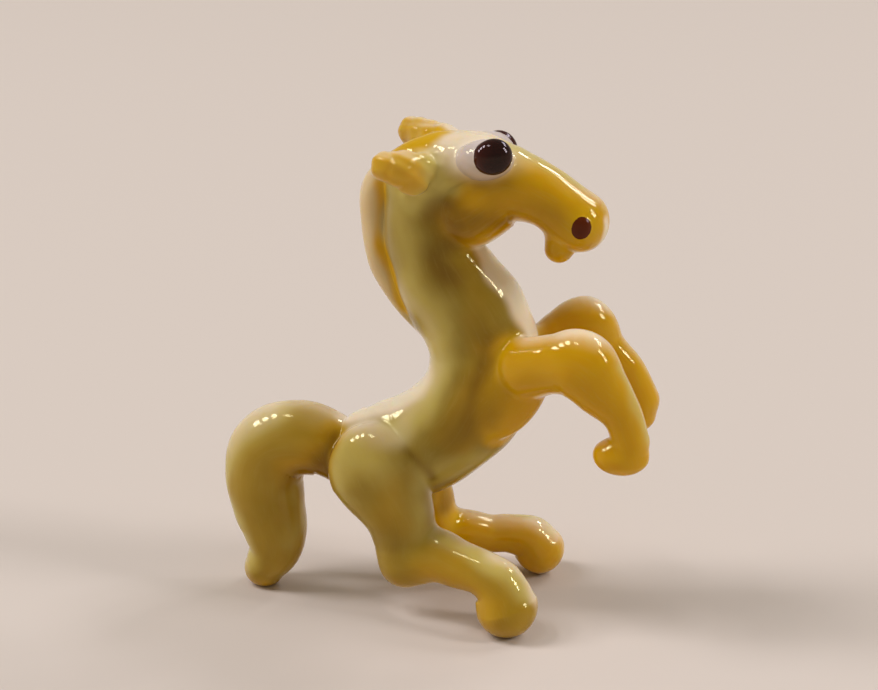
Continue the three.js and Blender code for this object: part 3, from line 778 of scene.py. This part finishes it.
def build_piece(piece):
    """A piece's object: its mesh, normals and values, its glass, and its node in the frame."""
    points, quads, normals, past = mesh_of(piece)
    mesh = bpy.data.meshes.new(piece.name + "_glass")
    low = np.array(cad_low) / MM + (INSET, INSET, 0)
    high = np.array(cad_high) / MM - INSET
    points = np.clip(points, low, high)
    mesh.vertices.add(len(points))
    mesh.vertices.foreach_set("co", (points * MM).astype(np.float32).ravel())
    mesh.loops.add(quads.size)
    mesh.loops.foreach_set("vertex_index", quads.astype(np.int32).ravel())
    mesh.polygons.add(len(quads))
    mesh.polygons.foreach_set("loop_start", np.arange(0, quads.size, 4, dtype=np.int32))
    mesh.update(calc_edges=True)
    mesh.polygons.foreach_set("use_smooth", np.ones(len(quads), bool))
    mesh.normals_split_custom_set_from_vertices(normals)
    shares, pulled = glasses(points, normals)
    add_values(mesh, "depth", smooth(0, -DEEP_IN, past))
    add_values(mesh, "stain", shares[:, :BLUSH])
    add_values(mesh, "pulled", pulled)
    add_values(mesh, "blush", shares[:, BLUSH])
    thing = add_object(piece.name + "_glass", mesh)
    mesh.materials.append(materials[piece.slot])
    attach(thing, "root")
    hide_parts(piece.name)


def linear(text):
    """A colour for a socket, from its hex text."""
    rgb = [int(text[i : i + 2], 16) / 255 for i in (1, 3, 5)]
    return tuple(c / 12.92 if c <= 0.04045 else ((c + 0.055) / 1.055) ** 2.4 for c in rgb) + (1,)


# The glasses as they look by daylight
OLIVE_COLOUR = "#907206"
COLOURS = {AMBER: "#dea903", DEEP: "#764a00", MILK: "#d4be64", BLUSH: "#fae4bc"}
EYE_COLOURS = {AMBER: "#b08c48", DEEP: "#6a4a20", MILK: "#c8bca0", BLUSH: "#dccab6"}

# Noises: how they are stretched along, up and aside, their scale and their detail
EVENLY = (1, 1, 1)
STREAKS = ((0.14, 0.6, 0.6), 0.8, 2)
FIBRES = ((0.3, 3.2, 3.2), 1.3, 2)
CLOUDS = (EVENLY, 330, 2)
DOT_CLOUDS = (EVENLY, 900, 3)
STREAKED, CLOUDED, FIBROUS = 0.24, 0.14, 0.07  # how much each changes the shares of the glasses
LEANINGS = {AMBER: 0.7, DEEP: -0.8, MILK: 0.9, BLUSH: -0.6}  # and which way it takes each glass

# A mix node's sockets: its two colours and its result
MIX_FIRST, MIX_SECOND, MIX_RESULT = 6, 7, 2

# Uniform values of the shader: of every glass, and of the run glasses besides
BODY_LOOK = {
    "IOR": 1.5,
    "Specular Tint": (1, 0.92, 0.42, 1),
    "Subsurface Radius": (1.0, 0.8, 0.45),
    "Subsurface Scale": 0.0006,
}
RUN_LOOK = {
    "Sheen Weight": 0.22,
    "Sheen Roughness": 0.15,
    "Sheen Tint": linear("#ffe9c8"),
    "Transmission Weight": 0.08,
}
DOT_TINT = (1, 0.8, 0.7, 1)


class Glass:
    """A material of several glasses run together, and the steps that lead to its colour."""

    def __init__(self, name):
        self.material = bpy.data.materials.new(name)
        self.material.use_nodes = True
        self.tree = self.material.node_tree
        self.shader = self.tree.nodes["Principled BSDF"]
        self.put(BODY_LOOK)
        self.link(self.attribute("depth", "Fac"), self.shader.inputs["Subsurface Weight"])

    def put(self, look):
        """Sets uniform values of the shader."""
        for entry, value in look.items():
            self.shader.inputs[entry].default_value = value

    def link(self, output, entry):
        self.tree.links.new(output, entry)

    def attribute(self, name, output):
        node = self.tree.nodes.new("ShaderNodeAttribute")
        node.attribute_name = name
        return node.outputs[output]

    def maths(self, operation, first, second):
        node = self.tree.nodes.new("ShaderNodeMath")
        node.operation = operation
        for entry, value in zip(node.inputs, (first, second)):
            if isinstance(value, (int, float)):
                entry.default_value = value
            else:
                self.link(value, entry)
        return node.outputs[0]

    def noise(self, vector, stretch, scale, detail):
        mapping = self.tree.nodes.new("ShaderNodeMapping")
        mapping.inputs["Scale"].default_value = stretch
        self.link(vector, mapping.inputs["Vector"])
        node = self.tree.nodes.new("ShaderNodeTexNoise")
        node.inputs["Scale"].default_value = scale
        node.inputs["Detail"].default_value = detail
        self.link(mapping.outputs[0], node.inputs["Vector"])
        return node.outputs["Fac"]

    def ramp(self, value, low, high, first=0.0, last=1.0):
        node = self.tree.nodes.new("ShaderNodeMapRange")
        node.interpolation_type = "SMOOTHSTEP"
        self.link(value, node.inputs["Value"])
        numbers = {"From Min": low, "From Max": high, "To Min": first, "To Max": last}
        for entry, number in numbers.items():
            node.inputs[entry].default_value = number
        return node.outputs[0]

    def mix(self, share, first, second):
        node = self.tree.nodes.new("ShaderNodeMix")
        node.data_type = "RGBA"
        self.link(share, node.inputs[0])
        for entry, value in ((node.inputs[MIX_FIRST], first), (node.inputs[MIX_SECOND], second)):
            if isinstance(value, str):
                entry.default_value = linear(value)
            else:
                self.link(value, entry)
        return node.outputs[MIX_RESULT]


def run_glass(name, colours=COLOURS):
    """Glasses that run into each other in streaks along the rod that they were pulled into."""
    glass = Glass(name)
    pulled = glass.attribute("pulled", "Vector")
    place = glass.tree.nodes.new("ShaderNodeTexCoord").outputs["Object"]
    streaks = glass.noise(pulled, *STREAKS)
    clouds = glass.noise(place, *CLOUDS)
    fine = glass.noise(pulled, *FIBRES)
    depth = glass.attribute("depth", "Fac")
    uneven = glass.maths("SUBTRACT", streaks, 0.5)
    uneven = glass.maths("MULTIPLY", uneven, glass.maths("MULTIPLY", depth, STREAKED))
    cloudy = glass.maths("SUBTRACT", clouds, 0.5)
    uneven = glass.maths("ADD", uneven, glass.maths("MULTIPLY", cloudy, CLOUDED))
    stain = glass.tree.nodes.new("ShaderNodeSeparateXYZ")
    glass.link(glass.attribute("stain", "Vector"), stain.inputs[0])
    share = {AMBER: stain.outputs[0], DEEP: stain.outputs[1], MILK: stain.outputs[2]}
    share[BLUSH] = glass.attribute("blush", "Fac")
    colour = OLIVE_COLOUR
    for kind, way in LEANINGS.items():
        run = glass.maths("ADD", share[kind], glass.maths("MULTIPLY", uneven, way))
        colour = glass.mix(glass.ramp(run, 0.05, 0.95), colour, colours[kind])
    colour = glass.mix(glass.ramp(fine, 0.5, 0.75, 0.0, FIBROUS), colour, colours[MILK])
    glass.link(colour, glass.shader.inputs["Base Color"])
    glass.link(glass.ramp(clouds, 0.3, 0.7, 0.03, 0.07), glass.shader.inputs["Roughness"])
    glass.put(RUN_LOOK)
    return glass.material


def dot_glass(name, middle, rim, level):
    """Dark glass, a little redder and lighter where it thins out at its rim."""
    glass = Glass(name)
    place = glass.tree.nodes.new("ShaderNodeTexCoord").outputs["Object"]
    clouds = glass.noise(place, *DOT_CLOUDS)
    depth = glass.maths("ADD", glass.attribute("depth", "Fac"), glass.maths("MULTIPLY", clouds, 0.2))
    glass.link(glass.mix(glass.ramp(depth, 0.1, 0.7), rim, middle), glass.shader.inputs["Base Color"])
    glass.link(glass.ramp(clouds, 0.3, 0.7, 0.02, 0.05), glass.shader.inputs["Roughness"])
    glass.put({"Specular Tint": DOT_TINT, "Specular IOR Level": level})
    return glass.material


body_slots = ("ivory_glass", "pale_ivory_glass", "honey_glass", "amber_glass")
materials = {name: run_glass(name) for name in body_slots}
materials |= {
    "eye_white_glass": run_glass("eye_white_glass", EYE_COLOURS),
    "dark_glass": dot_glass("dark_glass", "#0c0202", "#3c1208", 0.35),
    "maroon_glass": dot_glass("maroon_glass", "#340a02", "#5a2204", 0.2),
}

for piece in pieces:
    build_piece(piece)

# The studio: a floor, a pale wall that the camera and the glass see, and a room's dim light
FLOOR = 0.6  # half the width of the floor, in metres
FLOOR_COLOUR, WALL_COLOUR = "#d2c3ab", "#cfc4b6"
FLOOR_ROUGHNESS = 0.8
ROOM_BELOW, ROOM_ABOVE = (0.17, 0.16, 0.145, 1), (0.3, 0.29, 0.27, 1)
WALL_TOP, WALL_END = 0.2, 0.4  # between these heights the wall fades into the room above


def add_floor():
    """A plain pale floor under the horse."""
    mesh = bpy.data.meshes.new("floor")
    corners = [(-FLOOR, -FLOOR, 0), (FLOOR, -FLOOR, 0), (FLOOR, FLOOR, 0), (-FLOOR, FLOOR, 0)]
    mesh.from_pydata(corners, [], [(0, 1, 2, 3)])
    floor = add_object("floor", mesh)
    material = bpy.data.materials.new("floor")
    material.use_nodes = True
    shader = material.node_tree.nodes["Principled BSDF"]
    shader.inputs["Base Color"].default_value = linear(FLOOR_COLOUR)
    shader.inputs["Roughness"].default_value = FLOOR_ROUGHNESS
    mesh.materials.append(material)


def height_ramp(sky, height, places, colours):
    """A colour by height, from one place to another."""
    ramp = sky.nodes.new("ShaderNodeValToRGB")
    sky.links.new(height.outputs[2], ramp.inputs[0])
    for element, place, colour in zip(ramp.color_ramp.elements, places, colours):
        element.position = place
        element.color = colour
    return ramp.outputs[0]


def add_world():
    """A room's dim light, and in its place a pale wall where the camera or the glass sees it."""
    world = bpy.data.worlds.new("studio")
    world.use_nodes = True
    sky = world.node_tree
    height = sky.nodes.new("ShaderNodeSeparateXYZ")
    sky.links.new(sky.nodes.new("ShaderNodeTexCoord").outputs["Generated"], height.inputs[0])
    path = sky.nodes.new("ShaderNodeLightPath")
    sees = path.outputs["Is Camera Ray"]
    for kind in ("Is Glossy Ray", "Is Transmission Ray"):
        either = sky.nodes.new("ShaderNodeMath")
        either.operation = "MAXIMUM"
        sky.links.new(sees, either.inputs[0])
        sky.links.new(path.outputs[kind], either.inputs[1])
        sees = either.outputs[0]
    seen = sky.nodes.new("ShaderNodeMix")
    seen.data_type = "RGBA"
    room = height_ramp(sky, height, (0, 1), (ROOM_BELOW, ROOM_ABOVE))
    wall = height_ramp(sky, height, (WALL_TOP, WALL_END), (linear(WALL_COLOUR), ROOM_ABOVE))
    sky.links.new(sees, seen.inputs[0])
    sky.links.new(room, seen.inputs[MIX_FIRST])
    sky.links.new(wall, seen.inputs[MIX_SECOND])
    sky.links.new(seen.outputs[MIX_RESULT], sky.nodes["Background"].inputs["Color"])
    bpy.context.scene.world = world


add_floor()
add_world()

LIGHTS_AIM, LIGHTS_AWAY = Vector((0, 0, 22)), 1600
DAYLIGHT = (0.96, 0.98, 1.22)


def panel(name, way, power, size, across=0, lift=0):
    """A soft panel of light that faces the horse from a direction, shifted across and upwards."""
    data = bpy.data.lights.new(name, "AREA")
    data.shape = "RECTANGLE"
    data.size, data.size_y = size[0] * MM, size[1] * MM
    data.energy = power
    data.color = DAYLIGHT
    thing = add_object(name, data)
    way = Vector(way).normalized()
    turned = way.to_track_quat("Z", "Y")
    shift = turned @ Vector((across, lift, 0))
    thing.location = (LIGHTS_AIM + way * LIGHTS_AWAY + shift) * MM
    thing.rotation_euler = turned.to_euler()


# Windows of three panes: a tall bright one behind the horse, at the left of the picture, a wide
# one ahead of it on its far side, and a smaller tall one straight ahead. Each has its direction,
# the watts and size of a pane, and how far it is from one pane to the next, across and upwards
WINDOWS = [
    ("left", (-0.67, -0.1, 0.74), 5.1, (430, 215), (0, 340)),
    ("right", (0.53, 0.5, 0.68), 2.4, (200, 275), (285, 0)),
    ("front", (0.82, -0.05, 0.57), 2.7, (270, 150), (0, 200)),
]
for word, way, power, pane, gap in WINDOWS:
    for i in (-1, 0, 1):
        panel(f"{word}_pane_{i + 2}", way, power, pane, i * gap[0], i * gap[1])

# One more pane, overhead, for the long streaks of light on the back and the shins
panel("skylight", way=(-0.2, -0.2, 0.96), power=2.0, size=(340, 180))

bpy.context.scene.view_settings.view_transform = "Standard"
